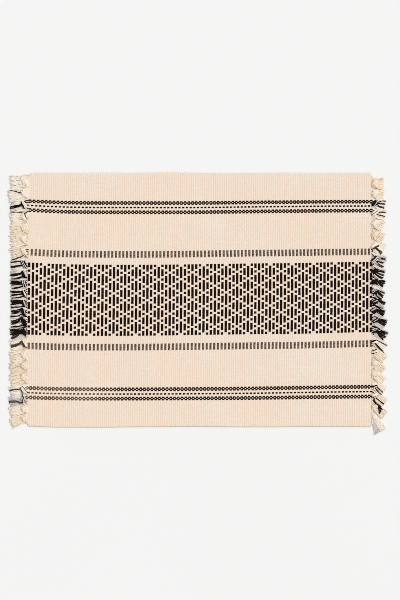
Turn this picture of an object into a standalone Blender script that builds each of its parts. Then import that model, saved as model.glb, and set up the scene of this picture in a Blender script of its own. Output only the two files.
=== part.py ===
"""Woven cotton placemat with a knotted fringe at each end, lying flat.

One ribbed sheet of cloth and, at each end, the row of knotted tassels in which its
yarns end. Metres, +Z up. The mat lies on z = 0 with its length along X, and the
origin is under the middle of the whole mat.
"""
import math
import random

import bmesh
import bpy

MM = 0.001

# the cloth
CLOTH_LENGTH = 442.0 * MM       # along X, without the fringe
CLOTH_WIDTH = 325.4 * MM        # along Y, between the two selvedges
RIB_TOP = 2.0 * MM              # thickness on a rib
RIB_VALLEY = 1.5 * MM           # thickness between two ribs
RIB_COUNT = 185                 # one rib over each weft yarn, across the whole width
RIB_PITCH_LEFT = 2.493 * MM     # the weft is beaten a little closer towards the right
RIB_PITCH_RIGHT = 2.277 * MM
LEFT_MARGIN = 0.94 * MM         # bare edge to the left of the first rib
MARGIN_THICKNESS = 1.2 * MM

# how far each selvedge wanders from straight: (distance from the left end, outwards), mm
FAR_SELVEDGE = [(0, 0.1), (55, -0.2), (96, 0.4), (137, 0.0), (190, 0.7),
                (240, -0.6), (281, -0.3), (332, 0.4), (363, -0.1), (442, 0.1)]
NEAR_SELVEDGE = [(0, -0.6), (40, 0.6), (96, 0.8), (137, 0.15), (219, -0.4),
                 (260, 0.15), (322, 0.2), (352, -0.4), (442, 0.0)]
# radius of each rounded corner, at the left and at the right end, mm
FAR_CORNERS = (6.0, 3.0)
NEAR_CORNERS = (3.5, 2.5)

# the fringe
GAP = 0.3 * MM                  # between the cloth's end and the fringe's strip
STRIP_WIDTH = 1.2 * MM
STRIP_HEIGHT = 1.6 * MM
ROOT_SHARE = 0.84               # of the strip's length that the tassels' roots fill
ROOT_HEIGHT = 1.2 * MM
LOCKS = 5                       # loose locks in each tassel
LOCK_WIDTH = 1.6 * MM           # widest lock, on the floor
LOCK_FILL = 0.74                # width of a lock in a narrow fan, against their spacing there
ROOT_APEX = 1.1 * MM            # height of a lock where it leaves the knot
LOCK_SECTIONS = [(0.5, 1.5 * MM), (1.0, 0.9 * MM)]   # (share of the length, height) further out
FAN_OPENING = 0.85              # below 1, a fan opens early and then runs straighter
LENGTH_SPREAD = 1.3 * MM        # longest lock against the mean
FAN_SHARE = 0.88                # of the room between a tassel and its nearer neighbour

# a tassel's body, as cross-sections: (part of the lean that it has taken, distance from the
# knot's middle, half width, height), lengths in mm
KNOT_SECTIONS = [(0.3, -2.4, 2.0, 2.3), (0.5, -1.5, 2.8, 3.6),
                 (0.9, 0.4, 3.1, 4.2), (1.0, 2.2, 2.6, 2.4)]
FOOT, SHOULDER, CROWN = 0.8, 0.46, 0.56     # foot width, widest height, top width

# every tassel, from the far selvedge to the near one: (distance of its knot from the far
# selvedge in mm, lean towards the near one in degrees, length against the mean)
LEFT_TASSELS = [
    (10.0, 8, 1.0), (26.0, 12, 1.06), (41.0, 8, 0.96), (56.5, 6, 1.0), (71.0, 11, 1.0),
    (85.5, 12, 1.0), (100.5, 16, 0.98), (117.0, 10, 0.94), (129.5, 6, 0.94), (141.5, 8, 0.94),
    (154.5, 6, 0.96), (167.0, 2, 0.96), (179.5, -3, 0.94), (191.5, 3, 0.94), (204.0, 12, 1.02),
    (218.6, 12, 1.0), (233.3, 13, 1.02), (247.8, 16, 1.03), (262.5, 17, 1.02), (278.0, 12, 1.03),
    (290.6, 10, 1.02), (302.6, 14, 1.0), (314.6, 22, 0.98)]
RIGHT_TASSELS = [
    (13.0, 4, 0.9), (26.2, 14, 0.9), (38.8, 8, 1.0), (51.5, 12, 1.08), (64.4, 24, 0.96),
    (78.7, 28, 0.96), (93.5, 30, 1.0), (111.0, 18, 1.0), (125.6, 22, 1.0), (139.2, 26, 0.98),
    (152.2, 28, 1.0), (165.3, 27, 1.06), (177.0, 24, 1.0), (189.2, 27, 1.06), (202.2, 31, 1.12),
    (215.6, 31, 1.08), (229.3, 38, 1.08), (244.0, 42, 1.06), (258.0, 42, 1.06), (272.0, 36, 1.1),
    (285.4, 38, 1.1), (299.6, 42, 1.12), (313.2, 56, 1.45)]
FRINGES = {
    # name: (side, tassels, knot's middle from the cloth's end, length of the loose locks)
    "fringe_left": (-1, LEFT_TASSELS, 5.0 * MM, 13.4 * MM),
    "fringe_right": (1, RIGHT_TASSELS, 4.4 * MM, 11.4 * MM),
}


def make_material(name, colour, roughness):
    """Plain cotton of one colour."""
    material = bpy.data.materials.new(name)
    material.use_nodes = True
    shader = material.node_tree.nodes["Principled BSDF"]
    shader.inputs["Base Color"].default_value = (*colour, 1.0)
    shader.inputs["Roughness"].default_value = roughness
    shader.inputs["Metallic"].default_value = 0.0
    return material


def make_object(name, bm, material):
    """Close a bmesh into a named object with its faces turned outwards."""
    bmesh.ops.recalc_face_normals(bm, faces=bm.faces)
    mesh = bpy.data.meshes.new(name)
    bm.to_mesh(mesh)
    bm.free()
    mesh.materials.append(material)
    obj = bpy.data.objects.new(name, mesh)
    bpy.context.scene.collection.objects.link(obj)
    return obj


def rib_lines():
    """(x, thickness) of every line along which the cloth's top changes slope."""
    pitches = [RIB_PITCH_LEFT + (RIB_PITCH_RIGHT - RIB_PITCH_LEFT) * rib / (RIB_COUNT - 1)
               for rib in range(RIB_COUNT)]
    fit = (CLOTH_LENGTH - LEFT_MARGIN) / sum(pitches)
    x = LEFT_MARGIN - CLOTH_LENGTH / 2
    lines = [(x - LEFT_MARGIN, MARGIN_THICKNESS), (x, RIB_VALLEY)]
    for pitch in pitches:
        lines.append((x + fit * pitch / 2, RIB_TOP))
        x += fit * pitch
        lines.append((x, RIB_VALLEY))
    return lines


def corner_cut(from_end, radius):
    """How far a rounded corner lies inside the square one, at a distance from the end."""
    inside = min(radius, max(0.0, radius - from_end))
    return radius - math.sqrt(radius ** 2 - inside ** 2)


def selvedge(lines, wander, corners):
    """One long edge: its stops, as indices of lines, and its half width at every line.

    Between two stops the edge is straight, so each stretch of its wall is one flat face.
    """
    half = CLOTH_LENGTH / 2
    left, right = corners[0] * MM, corners[1] * MM
    marks = [along * MM - half for along, _ in wander]
    stops = {min(range(len(lines)), key=lambda i: abs(lines[i][0] - mark)) for mark in marks}
    stops |= {i for i, (x, _) in enumerate(lines) if x + half < left or half - x < right}
    stops = sorted(stops)

    def reach(x):
        """Half width on the table's straight stretches, less the rounded corners."""
        along = (x + half) / MM
        for (a, out_a), (b, out_b) in zip(wander, wander[1:]):
            if along <= b + 1e-6:
                out = out_a + (out_b - out_a) * (along - a) / (b - a)
                break
        return CLOTH_WIDTH / 2 + out * MM - corner_cut(x + half, left) - corner_cut(half - x, right)

    at_lines = [0.0] * len(lines)
    for first, last in zip(stops, stops[1:]):
        x_first, x_last = lines[first][0], lines[last][0]
        for i in range(first, last + 1):
            share = (lines[i][0] - x_first) / (x_last - x_first)
            at_lines[i] = reach(x_first) * (1 - share) + reach(x_last) * share
    return stops, at_lines


def build_mat(material):
    """The cloth: flat below, one ridge over each weft yarn above."""
    lines = rib_lines()
    edges = []                  # (side, stops, top vertices, bottom vertices by stop)
    bm = bmesh.new()
    for side, wander, corners in ((1, FAR_SELVEDGE, FAR_CORNERS),
                                  (-1, NEAR_SELVEDGE, NEAR_CORNERS)):
        stops, reach = selvedge(lines, wander, corners)
        top = [bm.verts.new((x, side * reach[i], z)) for i, (x, z) in enumerate(lines)]
        bottom = {i: bm.verts.new((lines[i][0], side * reach[i], 0.0)) for i in stops}
        edges.append((stops, top, bottom))
    (far_stops, far_top, far_bottom), (near_stops, near_top, near_bottom) = edges
    last = len(lines) - 1
    for i in range(last):
        bm.faces.new((near_top[i], near_top[i + 1], far_top[i + 1], far_top[i]))
    for stops, top, bottom in edges:
        for a, b in zip(stops, stops[1:]):
            bm.faces.new([bottom[a], bottom[b]] + top[a:b + 1][::-1])
    for end in (0, last):
        bm.faces.new((near_bottom[end], far_bottom[end], far_top[end], near_top[end]))
    bm.faces.new([near_bottom[i] for i in near_stops] + [far_bottom[i] for i in far_stops[::-1]])
    return make_object("mat", bm, material)


def section(bm, centre, turn, half_width, height):
    """Six points of a flat-footed cross-section, standing across a tassel's direction."""
    across = (-math.sin(turn), math.cos(turn))
    outline = [(-FOOT * half_width, 0.0), (FOOT * half_width, 0.0),
               (half_width, SHOULDER * height), (CROWN * half_width, height),
               (-CROWN * half_width, height), (-half_width, SHOULDER * height)]
    return [bm.verts.new((centre[0] + across[0] * v, centre[1] + across[1] * v, z))
            for v, z in outline]


def bridge(bm, ring, following):
    """Join two sections of a tassel's body on all sides but the foot."""
    for i in range(1, len(ring)):
        j = (i + 1) % len(ring)
        bm.faces.new((ring[i], ring[j], following[j], following[i]))


def add_lock(bm, ring, start, heading, across, length, place, widths):
    """A three-sided lock from its root in the knot's face to its tip, flat on the floor.

    ring holds its two foot points and apex in the face. place is its part of the fan, from
    -0.5 to 0.5, and widths are the fan's width at the root and at the tip.
    """
    for share, height in LOCK_SECTIONS:
        opened = widths[0] + (widths[1] - widths[0]) * share ** FAN_OPENING
        half = min(LOCK_WIDTH, LOCK_FILL * opened / LOCKS) / 2
        middle = [start[k] + heading[k] * length * share + across[k] * place * opened
                  for k in (0, 1)]
        following = [bm.verts.new((middle[0] + across[0] * v, middle[1] + across[1] * v, z))
                     for v, z in ((-half, 0.0), (half, 0.0), (0.0, height))]
        for i in range(3):
            j = (i + 1) % 3
            bm.faces.new((ring[i], ring[j], following[j], following[i]))
        ring = following
    bm.faces.new(ring)


def add_tassel(bm, side, root, root_width, knot, lean, length, fan, rng):
    """Neck, knot and loose locks of one tassel. Returns its ring in the strip's face."""
    rings = [section(bm, root, 0.0, root_width / 2, ROOT_HEIGHT)]
    for turned, along, half_width, height in KNOT_SECTIONS:
        turn = lean * turned
        heading = (side * math.cos(turn), -math.sin(turn))
        centre = (knot[0] + heading[0] * along * MM, knot[1] + heading[1] * along * MM)
        rings.append(section(bm, centre, -side * turn, half_width * MM, height * MM))
    for ring, following in zip(rings, rings[1:]):
        bridge(bm, ring, following)
    for ring, following in zip(rings[:-2], rings[1:-1]):
        bm.faces.new((ring[0], ring[1], following[1], following[0]))
    face = rings[-1]
    across = (side * math.sin(lean), math.cos(lean))
    foot_width = 2 * FOOT * half_width * MM
    feet, teeth = [], []
    for k in range(LOCKS):
        place = (k + 0.5) / LOCKS - 0.5
        middle = place * foot_width
        half = LOCK_FILL * foot_width / LOCKS / 2
        points = [bm.verts.new((centre[0] + across[0] * v, centre[1] + across[1] * v, z))
                  for v, z in ((middle - half, 0.0), (middle + half, 0.0), (middle, ROOT_APEX))]
        reach = length + rng.uniform(-1, 1) * LENGTH_SPREAD
        add_lock(bm, points, centre, heading, across, reach, place, (foot_width, fan))
        feet += points[:2]
        teeth += [points[0], points[2], points[1]]
    bm.faces.new([face[0]] + teeth + face[1:])
    bm.faces.new([rings[-2][1], rings[-2][0], face[0]] + feet + [face[1]])
    return rings[0]


def tips_of(tassels, length):
    """Where each tassel's fan is centred at its tips, measured down from the far selvedge."""
    return [down * MM + math.sin(math.radians(lean)) * length * share for down, lean, share in tassels]


def end_reach(end, wander, corners):
    """Half width of the straight stretch between two corners; end is 0 left and -1 right."""
    return CLOTH_WIDTH / 2 + (wander[end][1] - corners[end]) * MM


def build_fringe(name, material):
    """The row of tassels at one end, on a narrow strip beside the cloth."""
    side, tassels, knot_off, length = FRINGES[name]
    rng = random.Random(name)
    inner = side * (CLOTH_LENGTH / 2 + GAP)
    outer = inner + side * STRIP_WIDTH
    end = 0 if side < 0 else -1
    far_end = end_reach(end, FAR_SELVEDGE, FAR_CORNERS)
    near_end = -end_reach(end, NEAR_SELVEDGE, NEAR_CORNERS)
    far_edge = CLOTH_WIDTH / 2
    knots = [far_edge - down * MM for down, _, _ in tassels]
    marks = [far_end] + [(a + b) / 2 for a, b in zip(knots, knots[1:])] + [near_end]
    tips = tips_of(tassels, length)
    bm = bmesh.new()
    rings = []
    for k, (_, lean, share) in enumerate(tassels):
        root_width = (marks[k] - marks[k + 1]) * ROOT_SHARE
        root = (outer, (marks[k] + marks[k + 1]) / 2)
        knot = (side * (CLOTH_LENGTH / 2 + knot_off), knots[k])
        before = tips[k] - tips[k - 1] if k else tips[1] - tips[0]
        after = tips[k + 1] - tips[k] if k + 1 < len(tips) else before
        lean = math.radians(lean)
        fan = FAN_SHARE * min(before, after) * math.cos(lean)
        ring = add_tassel(bm, side, root, root_width, knot, lean, length * share, fan, rng)
        rings.append(ring)
    corners = {(x, y, z): bm.verts.new((x, y, z)) for x in (inner, outer)
               for y in (near_end, far_end) for z in (0.0, STRIP_HEIGHT)}
    near, far = (outer, near_end), (outer, far_end)
    notches = []
    feet = []
    for ring in rings[::-1]:    # from the near end to the far one
        notches += [ring[0]] + ring[:1:-1] + [ring[1]]
        feet += ring[:2]
    bm.faces.new([corners[(*near, 0.0)]] + notches
                 + [corners[(*far, 0.0)], corners[(*far, STRIP_HEIGHT)], corners[(*near, STRIP_HEIGHT)]])
    bm.faces.new([corners[(inner, near_end, 0.0)], corners[(*near, 0.0)]] + feet
                 + [corners[(*far, 0.0)], corners[(inner, far_end, 0.0)]])
    bm.faces.new([corners[key] for key in ((inner, near_end, 0.0), (inner, far_end, 0.0),
                                           (inner, far_end, STRIP_HEIGHT), (inner, near_end, STRIP_HEIGHT))])
    bm.faces.new([corners[key] for key in ((inner, near_end, STRIP_HEIGHT), (inner, far_end, STRIP_HEIGHT),
                                           (*far, STRIP_HEIGHT), (*near, STRIP_HEIGHT))])
    for y in (near_end, far_end):
        bm.faces.new([corners[key] for key in ((inner, y, 0.0), (outer, y, 0.0),
                                               (outer, y, STRIP_HEIGHT), (inner, y, STRIP_HEIGHT))])
    return make_object(name, bm, material)


def centre_on_origin(objects):
    """Move every mesh so that the whole mat's box is centred over the origin."""
    points = [v.co for obj in objects for v in obj.data.vertices]
    for axis in (0, 1):
        values = [p[axis] for p in points]
        middle = (min(values) + max(values)) / 2
        for p in points:
            p[axis] -= middle


def main():
    for obj in list(bpy.data.objects):
        bpy.data.objects.remove(obj, do_unlink=True)
    cloth = make_material("cream_cotton", (0.87, 0.75, 0.62), 0.9)
    objects = [build_mat(cloth)]
    for name, colour in (("fringe_left", (0.80, 0.72, 0.62)), ("fringe_right", (0.80, 0.71, 0.60))):
        objects.append(build_fringe(name, make_material(name + "_cotton", colour, 0.92)))
    centre_on_origin(objects)


main()
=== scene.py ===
import math

import bpy
import numpy as np
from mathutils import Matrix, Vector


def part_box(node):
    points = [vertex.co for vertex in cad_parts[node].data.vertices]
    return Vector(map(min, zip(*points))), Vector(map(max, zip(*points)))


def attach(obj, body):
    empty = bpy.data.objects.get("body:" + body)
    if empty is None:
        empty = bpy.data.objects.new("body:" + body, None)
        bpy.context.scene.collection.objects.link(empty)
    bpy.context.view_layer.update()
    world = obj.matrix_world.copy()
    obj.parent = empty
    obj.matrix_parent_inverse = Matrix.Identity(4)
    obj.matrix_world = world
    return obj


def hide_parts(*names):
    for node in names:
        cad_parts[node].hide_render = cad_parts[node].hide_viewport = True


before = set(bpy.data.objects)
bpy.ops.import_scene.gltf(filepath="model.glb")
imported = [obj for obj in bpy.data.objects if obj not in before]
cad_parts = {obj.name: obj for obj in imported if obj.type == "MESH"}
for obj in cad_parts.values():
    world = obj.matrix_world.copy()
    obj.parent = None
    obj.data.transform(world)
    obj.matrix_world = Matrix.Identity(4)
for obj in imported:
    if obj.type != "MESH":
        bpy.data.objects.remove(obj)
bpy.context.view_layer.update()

mm = 0.001
matLow, matHigh = (np.array(corner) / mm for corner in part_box("mat"))

# the weave
# Lengths are in mm. Picks are the weft yarns from the left end, lanes the warp yarns from the
# far selvedge. A whole lane number is that yarn's middle.
weave = {
    "length": 442, "picks": 185, "leftMargin": 0.94,
    "firstPitch": 2.493, "lastPitch": 2.277,  # the weft is beaten closer to the right
    "lanes": 222,
    # (lane, mm from the far selvedge): stripe, dashes, both edges of the band, dashes, stripe
    "rows": [(-0.5, 0), (30, 44.3), (70, 104.4), (80, 117.6), (142, 208.8), (153, 223.2),
             (193, 283.5), (221.5, 325.4)],
    # how far the selvedges wander outwards: (mm from the left end, mm)
    "farWander": [(0, 0.1), (55, -0.2), (96, 0.4), (137, 0), (190, 0.7),
                  (240, -0.6), (281, -0.3), (332, 0.4), (363, -0.1), (442, 0.1)],
    "nearWander": [(0, -0.6), (40, 0.6), (96, 0.8), (137, 0.15), (219, -0.4),
                   (260, 0.15), (322, 0.2), (352, -0.4), (442, 0)],
    "farCorners": (6, 3), "nearCorners": (3.5, 2.5),  # radii at the left and right end
    # how far the rows bow towards the far selvedge: lane, and mm at each place along the mat
    "bowAt": (0, 14, 34, 55, 96, 137, 178, 219, 260, 301, 342, 384, 425, 442),
    "bows": {
        -0.5: (0,) * 14,
        30: (2.9, 2.1, 1.1, 0.5, 0, 0, -0.1, 0, 0.5, 1, 1.35, 1.8, 1.9, 2),
        80: (3, 2.1, 0.9, 0.4, 0, -0.2, 0.05, 0.6, 1.15, 1.7, 2, 2.9, 3.4, 3.6),
        142: (1.6, 1.3, 0.6, 0.25, 0, 0.1, 0.55, 1.25, 1.7, 2.25, 2.55, 3.5, 4.6, 5),
        193: (1.9, 1.35, 0.7, 0.3, 0, 0, 0.15, 0.4, 0.7, 1.2, 1.8, 2.5, 3, 3.2),
        221.5: (0,) * 14},
    # and how far the ribs stand to the right of their even places
    "leanAt": (0, 26, 65, 103, 142, 180, 219, 257, 296, 334, 373, 411, 442),
    "leans": {
        30: (1.7, 2.5, 2.4, 1.5, 0.4, 0.2, -0.1, -0.6, -1.2, -1.2, -1.1, -0.1, 0),
        70: (1.2, 1.8, 1.5, 1.1, -0.1, -0.4, -0.7, -0.5, -0.7, -0.4, -0.6, -0.5, 0),
        80: (0.4, 0.8, 1.1, 1.1, 0.2, -0.2, 0, 0.3, 0.1, 0.4, 0.2, -0.1, 0),
        111: (0, -0.1, 0.1, 0.6, -0.1, -0.3, 0, 0.3, 0.1, 0.4, 0.2, -0.3, 0),
        142: (0, -0.6, -0.6, 0, -0.6, -0.7, -0.5, -0.4, -0.5, -0.3, -0.3, -0.5, 0),
        153: (0, -0.4, -0.9, -0.4, -1, -1.3, -0.9, -0.8, -1.3, -1.1, -1, -1.2, 0),
        193: (0, -0.8, -1.1, -0.5, -1.5, -1.6, -1.3, -1, -1, -0.8, -0.3, 0.7, 0)},
}
farLine = matHigh[1] - max(out for _, out in weave["farWander"])  # the far selvedge's world y
# A warp float lies on top wherever its pick and lane add up to an odd number.
# Rows of dark floats: lanes counted from the row's middle, and the picks they lie on, where
# 0 is the picks of the band's bars and 1 the picks between them
chainRows = [(-5, 0), (-4, 1), (-3, 0), (3, 0), (4, 1), (5, 0)]
dotRow = (0, 1)
dashRows = [(-2, 1), (0, 1), (2, 1)]
farStripe, nearStripe, farDashes, nearDashes = 30, 193, 70, 153
bandTop, bandUnits = 81, 31
# the band's draft: one line per bar pick, one sign per unit of two lanes, # is a black float
bandDraft = ["#.###.", ".#####", "#.###.", "##.#.#", "###.##", "##.#.#"]
draftStart = 3


def alongCurve(at, stations, values):
    # a smooth curve through the table's values (Hermite, with the slopes of the neighbours)
    stations, values = np.array(stations, float), np.array(values, float)
    slopes = np.gradient(values, stations)
    at = np.clip(at, stations[0], stations[-1])
    k = np.clip(np.searchsorted(stations, at, side="right") - 1, 0, len(stations) - 2)
    span = stations[k + 1] - stations[k]
    t = (at - stations[k]) / span
    return ((1 + 2 * t) * (1 - t) ** 2 * values[k] + t * (1 - t) ** 2 * span * slopes[k]
            + t * t * (3 - 2 * t) * values[k + 1] + t * t * (t - 1) * span * slopes[k + 1])


def pickPlace(pick):
    # mm from the left end to a place on the count of picks; 0 is the left side of the first one
    first, last, count = weave["firstPitch"], weave["lastPitch"], weave["picks"]
    run = first * pick + (last - first) / (2 * count) * pick ** 2
    whole = (first + last) / 2 * count
    return weave["leftMargin"] + run * (weave["length"] - weave["leftMargin"]) / whole


def edgeReach(x, wander, corners):
    # how far a selvedge reaches outwards at x, with its rounded corners
    reach = np.interp(x, *zip(*wander))
    for fromEnd, radius in ((x, corners[0]), (weave["length"] - x, corners[1])):
        inside = np.clip(radius - fromEnd, 0, radius)
        reach = reach - (radius - np.sqrt(radius ** 2 - inside ** 2))
    return reach


def threadPlace(x, lane):
    # where a lane crosses the line x mm from the left end, as world x and y in mm
    x, lane = np.broadcast_arrays(np.asarray(x, float), np.asarray(lane, float))
    down = np.interp(lane, *zip(*weave["rows"]))
    down = down - shifted(x, lane, weave["bowAt"], weave["bows"])
    across = shifted(x, lane, weave["leanAt"], weave["leans"])
    farPart = np.clip(1 - (lane + 0.5) / (farStripe + 0.5), 0, 1) ** 2
    nearPart = np.clip((lane - nearStripe) / (weave["lanes"] - 0.5 - nearStripe), 0, 1) ** 2
    down = down - farPart * edgeReach(x, weave["farWander"], weave["farCorners"])
    down = down + nearPart * edgeReach(x, weave["nearWander"], weave["nearCorners"])
    return matLow[0] + x + across, farLine - down


def shifted(x, lane, stations, rows):
    # straight blend between curves along the mat that are given on a few lanes
    lanes = list(rows)
    curves = [alongCurve(x, stations, values) for values in rows.values()]
    lane = np.clip(lane, lanes[0], lanes[-1])
    out = np.zeros_like(x)
    for k, (a, b) in enumerate(zip(lanes, lanes[1:])):
        t = (lane - a) / (b - a)
        out = np.where((t >= 0) & (t <= 1), curves[k] * (1 - t) + curves[k + 1] * t, out)
    return out


# materials
class Wire:
    # an output socket that can be used in sums
    def __init__(self, paint, socket):
        self.paint, self.socket = paint, socket

    def sum(self, operation, other):
        return self.paint.node("ShaderNodeMath", {"operation": operation}, {0: self, 1: other})

    def __add__(self, other):
        return self.sum("ADD", other)

    def __sub__(self, other):
        return self.sum("SUBTRACT", other)

    def __mul__(self, other):
        return self.sum("MULTIPLY", other)


class Paint:
    # a Principled material that is built node by node
    def __init__(self, name, looks):
        self.material = bpy.data.materials.new(name)
        self.material.use_nodes = True
        self.tree = self.material.node_tree
        self.shader = self.tree.nodes["Principled BSDF"]
        for socket in plainLooks:
            self.shader.inputs[socket].default_value = looks[socket]

    def node(self, kind, settings=None, sockets=None, out=0):
        made = self.tree.nodes.new(kind)
        for key, value in (settings or {}).items():
            setattr(made, key, value)
        for key, value in (sockets or {}).items():
            if isinstance(value, Wire):
                self.tree.links.new(value.socket, made.inputs[key])
            else:
                made.inputs[key].default_value = value
        return Wire(self, made.outputs[out])

    def feed(self, socket, wire):
        self.tree.links.new(wire.socket, self.shader.inputs[socket])

    def tone(self):
        # the tone that is stored with every point of a mesh
        return self.node("ShaderNodeAttribute", {"attribute_name": "tone"}, out="Fac")

    def noise(self, scale, detail):
        # Object coordinates in metres, stretched by one factor per axis
        spot = self.node("ShaderNodeTexCoord", out="Object")
        places = self.node("ShaderNodeMapping", None, {"Vector": spot, "Scale": scale})
        return self.node("ShaderNodeTexNoise", None, {"Vector": places, "Scale": 1.0,
                                                      "Detail": detail, "Roughness": 0.5})

    def ramp(self, factor, colours):
        made = self.node("ShaderNodeValToRGB", None, {"Fac": factor})
        stops = made.socket.node.color_ramp.elements
        while len(stops) < len(colours):
            stops.new(1.0)
        for stop, (place, colour) in zip(stops, colours):
            stop.position, stop.color = place, (*colour, 1)
        return made

    def mix(self, factor, first, second, blend="MIX"):
        return self.node("ShaderNodeMix", {"data_type": "RGBA", "blend_type": blend},
                         {0: factor, 6: first, 7: second}, out=2)

    def fibres(self, looks):
        # fine fibres that roughen and raise the yarn; their noise is handed on for its colour
        noise = self.noise(*looks["fibres"])
        more, least = looks["fibreRoughness"]
        distance, strength = looks["fibreBump"]
        self.feed("Roughness", noise * more + least)
        self.feed("Normal", self.node("ShaderNodeBump", None, {
            "Height": noise, "Distance": distance, "Strength": strength}))
        return noise


# A noise is (stretch along x, y and z, detail), a colour (its place on a ramp, its red, green
# and blue), and a fibre bump (metres, strength).
plainLooks = {"Roughness": 0.9, "Specular IOR Level": 0.25, "Sheen Weight": 0,
              "Sheen Roughness": 0.45, "Sheen Tint": (1, 1, 1, 1)}
clothLooks = {
    **plainLooks, "Roughness": 0.92, "Sheen Weight": 0.12, "Sheen Tint": (1, 0.95, 0.9, 1),
    # its uneven tone: broad patches, one warp yarn next to another and one rib next to another
    "uneven": [((9, 14, 9), 3, 0.5), ((12, 680, 12), 2, 0.3), ((420, 16, 12), 2, 0.2)],
    "fibres": ((420, 2400, 900), 2),  # the plies, drawn out along the warp
    "fibreRoughness": (0.1, 0.87), "fibreBump": (0.0004, 0.8),
    "colours": [(0.38, (0.98, 0.8, 0.65)), (0.5, (0.95, 0.8, 0.665)),
                (0.62, (0.96, 0.85, 0.735))],
    # painted shade by height, from between the ribs upwards, that the fibres blur
    "paintedHollowShade": [(0, (0.87, 0.83, 0.79)), (0.55, (1, 1, 1))], "blur": 0.5,
}
creamYarnLooks = {
    **plainLooks, "Sheen Weight": 0.25, "Sheen Tint": (1, 0.96, 0.9, 1),
    "fibres": ((1500, 2600, 2600), 3), "fibreRoughness": (0.12, 0.84),
    "fibreBump": (0.0002, 0.5), "fibreShare": 0.3,
    # brown, painted shade at the knot, two creams, and grey, painted shade beside the black yarns
    "colours": [(0.15, (0.8, 0.64, 0.475)), (0.45, (0.94, 0.8, 0.645)),
                (0.75, (0.965, 0.89, 0.81)), (1, (0.64, 0.585, 0.55))],
}
blackYarnLooks = {
    **plainLooks, "Specular IOR Level": 0.06,
    "fibres": ((500, 3000, 2200), 3), "fibreRoughness": (0.15, 0.8), "fibreBump": (0.0003, 0.7),
    "colours": [(0.35, (0.006, 0.002, 0.001)), (0.75, (0.026, 0.014, 0.01))],
    "faded": (0.13, 0.085, 0.05),
}
mottledLooks = {
    **plainLooks, "Sheen Weight": 0.1,
    "fibres": ((420, 1500, 900), 2), "fibreRoughness": (0.15, 0.8), "fibreBump": (0.0003, 0.5),
    "colours": [(0.36, (0.035, 0.02, 0.014)), (0.5, (0.1, 0.062, 0.044)),
                (0.68, (0.46, 0.34, 0.27))],
}


def clothPaint():
    looks = clothLooks
    paint = Paint("creamWeave", looks)
    patches, warps, picks = (paint.noise(scale, detail) * share
                             for scale, detail, share in looks["uneven"])
    colour = paint.ramp(patches + warps + picks, looks["colours"])
    # painted shade: the weave is darker between its ribs and along its edges
    height = paint.tone() + paint.fibres(looks) * looks["blur"] - looks["blur"] / 2
    shade = paint.ramp(height, looks["paintedHollowShade"])
    paint.feed("Base Color", paint.mix(1.0, colour, shade, "MULTIPLY"))
    return paint.material


def creamYarnPaint():
    looks = creamYarnLooks
    paint = Paint("creamYarn", looks)
    fibres = paint.fibres(looks) * looks["fibreShare"]
    tone = paint.tone() * (1 - looks["fibreShare"]) + fibres
    paint.feed("Base Color", paint.ramp(tone, looks["colours"]))
    return paint.material


def blackYarnPaint():
    looks = blackYarnLooks
    paint = Paint("blackYarn", looks)
    black = paint.ramp(paint.fibres(looks), looks["colours"])
    paint.feed("Base Color", paint.mix(paint.tone(), black, (*looks["faded"], 1)))
    return paint.material


def mottledPaint():
    # brown-black yarn whose plies let the cream through
    paint = Paint("mottledYarn", mottledLooks)
    paint.feed("Base Color", paint.ramp(paint.fibres(mottledLooks), mottledLooks["colours"]))
    return paint.material


# mesh helpers
def meshFrom(name, points, corners, sizes, material, tones):
    # points in mm; corners is every face's vertices in a row, sizes each face's count of them
    mesh = bpy.data.meshes.new(name)
    mesh.vertices.add(len(points))
    mesh.vertices.foreach_set("co", (np.asarray(points, float) * mm).ravel())
    mesh.loops.add(len(corners))
    mesh.loops.foreach_set("vertex_index", np.asarray(corners, np.int32))
    mesh.polygons.add(len(sizes))
    starts = np.concatenate([[0], np.cumsum(sizes)[:-1]]).astype(np.int32)
    mesh.polygons.foreach_set("loop_start", starts)
    mesh.polygons.foreach_set("use_smooth", np.ones(len(sizes), bool))
    mesh.update(calc_edges=True)
    mesh.validate()
    mesh.attributes.new("tone", "FLOAT", "POINT").data.foreach_set("value", tones)
    mesh.materials.append(material)
    obj = bpy.data.objects.new(name, mesh)
    bpy.context.scene.collection.objects.link(obj)
    return obj


def readAll(items, key, width=0):
    # a whole number of every item, or so many values of each
    out = np.zeros(len(items) * max(width, 1), float if width else np.int32)
    items.foreach_get(key, out)
    return out.reshape(-1, width) if width else out


def quads(a, b, c, d):
    # the corners of faces, face by face
    return np.stack([a, b, c, d], -1).reshape(-1)


def setMap(obj, u, v):
    layer = obj.data.uv_layers.new(name="OFBake")
    layer.data.foreach_set("uv", np.stack([u, v], 1).ravel())


mapLayout = {
    "size": 655, "margin": 1,  # mm of the map's side, and left of the mat
    "uprightBelow": 0.1, "endOnAbove": 0.7,  # by the normal's z, then by its x
    "firstStrip": 0.7, "stripStep": 0.07, "stripWide": 0.05, "tallest": 2.5,
}


def flatMap(obj):
    # a map from above: faces that look up fill its upper half, those that look down its lower
    # one, and upright faces four strips to their right
    mesh = obj.data
    points = readAll(mesh.vertices, "co", 3)[readAll(mesh.loops, "vertex_index")] / mm
    totals = readAll(mesh.polygons, "loop_total")
    normals = np.repeat(readAll(mesh.polygons, "normal", 3), totals, axis=0)
    u, v = ((points[:, :2] - matLow[:2] + mapLayout["margin"]) / mapLayout["size"]).T
    upright = np.abs(normals[:, 2]) < mapLayout["uprightBelow"]
    endOn = np.abs(normals[:, 0]) > mapLayout["endOnAbove"]
    strip = 2 * endOn + (normals[:, 0] + normals[:, 1] > 0)
    inStrip = mapLayout["stripWide"] * points[:, 2] / mapLayout["tallest"]
    mapU = np.where(upright, mapLayout["firstStrip"] + mapLayout["stripStep"] * strip + inStrip, u)
    mapV = np.where(upright, np.where(endOn, v, u), np.where(normals[:, 2] >= 0, v + 0.5, v))
    setMap(obj, mapU, mapV)


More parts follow.
